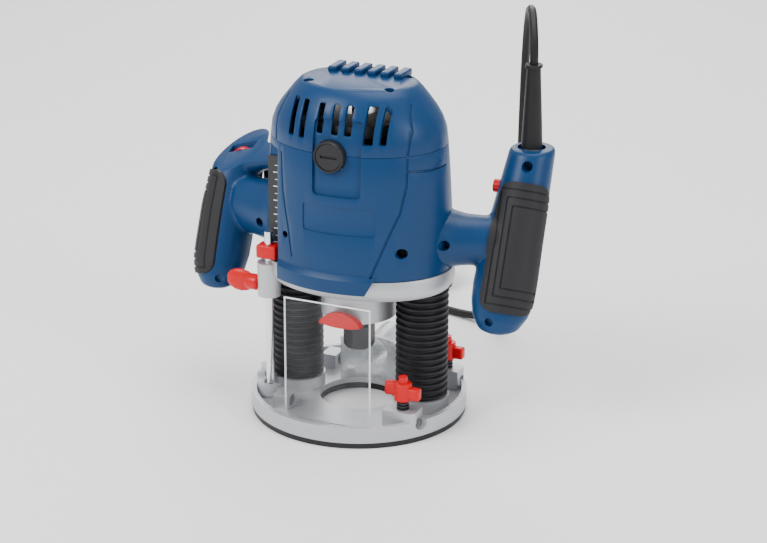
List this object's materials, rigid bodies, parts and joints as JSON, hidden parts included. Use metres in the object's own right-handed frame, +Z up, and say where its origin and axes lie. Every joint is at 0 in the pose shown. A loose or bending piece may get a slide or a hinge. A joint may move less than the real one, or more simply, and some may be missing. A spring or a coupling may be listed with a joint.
{
  "type": "plunge router",
  "caption": "Hand-held plunge router: round base with sprung guide columns, blue motor unit with side handles, depth stop turret, clear chip guard and mains lead.",
  "frame": {"origin": "on the spindle's axis, at the underside of the base", "axes": "+Z up along the spindle's axis, +X to the right-hand handle with the switch and mains lead, -Y to the chip guard at the front"},
  "size_m": [0.2557, 0.3589, 0.2784],
  "materials": {
    "cast_aluminium": "fine cast, satin",
    "steel": "ground",
    "chrome_rod": "polished",
    "black_oxide": "blackened steel",
    "bronze": "sintered bronze",
    "sole_plastic": "smooth black",
    "bellows_rubber": "matte",
    "clear_plastic": "clear polycarbonate",
    "red_plastic": "moulded, satin",
    "grey_plastic": "moulded, satin",
    "blue_plastic": "moulded, fine spark texture",
    "black_plastic": "moulded",
    "soft_grip": "soft-touch overmould",
    "copper": "enamelled winding",
    "laminations": "stacked steel sheet",
    "carbon": "graphite",
    "circuit_board": "board with parts",
    "cord_rubber": "rubber sheath",
    "scale_strip": "printed strip"
  },
  "bodies": {
    "base": {"base_plate": "cast_aluminium", "base_sole": "sole_plastic", "sole_screws": "steel", "guide_columns": "steel", "bellows": "bellows_rubber", "return_springs": "steel", "dust_adapter": "clear_plastic", "dust_adapter_screws": "steel", "turret_screw": "steel", "cord_tube": "cord_rubber", "cord_coil": "cord_rubber", "cord_tie": "black_plastic", "mains_plug": "cord_rubber"},
    "front_guide_clamp": {"front_clamp_knob": "red_plastic", "front_clamp_stud": "black_oxide"},
    "rear_guide_clamp": {"rear_clamp_knob": "red_plastic", "rear_clamp_stud": "black_oxide"},
    "turret": {"step_turret": "grey_plastic"},
    "chip_shield": {"chip_guard": "clear_plastic"},
    "motor_unit": {"drive_housing": "cast_aluminium", "guide_bushes": "bronze", "lower_bearing": "steel", "upper_bearing": "steel", "bearing_carrier": "black_plastic", "stator_core": "laminations", "field_windings": "copper", "brush_holders": "bronze", "carbon_brushes": "carbon", "brush_caps": "black_plastic", "motor_housing": "blue_plastic", "top_cap": "blue_plastic", "cap_screws": "black_oxide", "right_handle_front": "blue_plastic", "right_handle_back": "blue_plastic", "left_handle_front": "blue_plastic", "left_handle_back": "blue_plastic", "right_soft_grip": "soft_grip", "left_soft_grip": "soft_grip", "depth_scale": "scale_strip", "cord_guard": "cord_rubber", "switch_module": "black_plastic", "control_board": "circuit_board", "plunge_lever_pin": "steel"},
    "spindle": {"spindle_shaft": "steel", "collet": "steel", "collet_nut": "black_oxide", "rotor_core": "laminations", "rotor_windings": "copper", "commutator": "copper", "cooling_fan": "black_plastic"},
    "depth_stop": {"depth_rod": "chrome_rod"},
    "depth_index": {"index_slider": "red_plastic"},
    "depth_clamp": {"depth_clamp_stud": "black_oxide", "depth_clamp_knob": "red_plastic"},
    "spindle_lock": {"spindle_lock_button": "red_plastic", "spindle_lock_pin": "steel"},
    "switch_trigger": {"trigger": "red_plastic"},
    "lock_on": {"lock_on_button": "red_plastic"},
    "speed_wheel": {"speed_dial": "red_plastic"},
    "plunge_lever": {"plunge_lock_lever": "black_plastic"}
  },
  "joints": [
    {"name": "plunge", "type": "slide", "parent": "base", "child": "motor_unit", "axis": [0, 0, -1], "range_m": [0, 0.055], "stiffness_N_per_m": 400, "springref_m": -0.13, "deforming": ["bellows", "return_springs", "cord_tube"]},
    {"name": "spindle_spin", "type": "hinge", "parent": "motor_unit", "child": "spindle", "pos_m": [0, 0, 0.1], "axis": [0, 0, -1], "continuous": true},
    {"name": "depth_rod_slide", "type": "slide", "parent": "motor_unit", "child": "depth_stop", "axis": [0, 0, 1], "range_m": [0, 0.055]},
    {"name": "index_slide", "type": "slide", "parent": "depth_stop", "child": "depth_index", "axis": [0, 0, 1], "range_m": [0, 0.007]},
    {"name": "depth_clamp_turn", "type": "hinge", "parent": "motor_unit", "child": "depth_clamp", "pos_m": [-0.07, -0.03, 0.0915], "axis": [-1, 0, 0], "range_deg": [0, 360]},
    {"name": "front_guide_clamp_turn", "type": "hinge", "parent": "base", "child": "front_guide_clamp", "pos_m": [0.05, -0.0395, 0.034], "axis": [0, 0, 1], "range_deg": [0, 360]},
    {"name": "rear_guide_clamp_turn", "type": "hinge", "parent": "base", "child": "rear_guide_clamp", "pos_m": [0.05, 0.0395, 0.034], "axis": [0, 0, 1], "range_deg": [0, 360]},
    {"name": "turret_turn", "type": "hinge", "parent": "base", "child": "turret", "pos_m": [-0.0575, -0.0255, 0.01], "axis": [0, 0, -1], "range_deg": [0, 120]},
    {"name": "chip_guard_lift", "type": "slide", "parent": "base", "child": "chip_shield", "axis": [0, 0, 1], "range_m": [0, 0.014]},
    {"name": "spindle_lock_press", "type": "slide", "parent": "motor_unit", "child": "spindle_lock", "axis": [0, 1, 0], "range_m": [0, 0.003], "stiffness_N_per_m": 600, "springref_m": -0.004},
    {"name": "trigger_press", "type": "slide", "parent": "motor_unit", "child": "switch_trigger", "axis": [0, -1, 0], "range_m": [0, 0.004], "stiffness_N_per_m": 800, "springref_m": -0.003},
    {"name": "lock_on_press", "type": "slide", "parent": "motor_unit", "child": "lock_on", "axis": [1, 0, 0], "range_m": [0, 0.0025], "stiffness_N_per_m": 600, "springref_m": -0.003},
    {"name": "speed_dial_turn", "type": "hinge", "parent": "motor_unit", "child": "speed_wheel", "pos_m": [-0.107, 0.0375, 0.154], "axis": [0, 1, 0], "range_deg": [0, 270]},
    {"name": "plunge_lever_turn", "type": "hinge", "parent": "motor_unit", "child": "plunge_lever", "pos_m": [-0.044, 0.047, 0.14], "axis": [0, -1, 0], "range_deg": [0, 25], "stiffness_Nm_per_rad": 0.6, "springref_deg": -20.05}
  ],
  "couplings": [
    {"joint": "depth_rod_slide", "follows": "plunge", "ratio": 1}
  ]
}
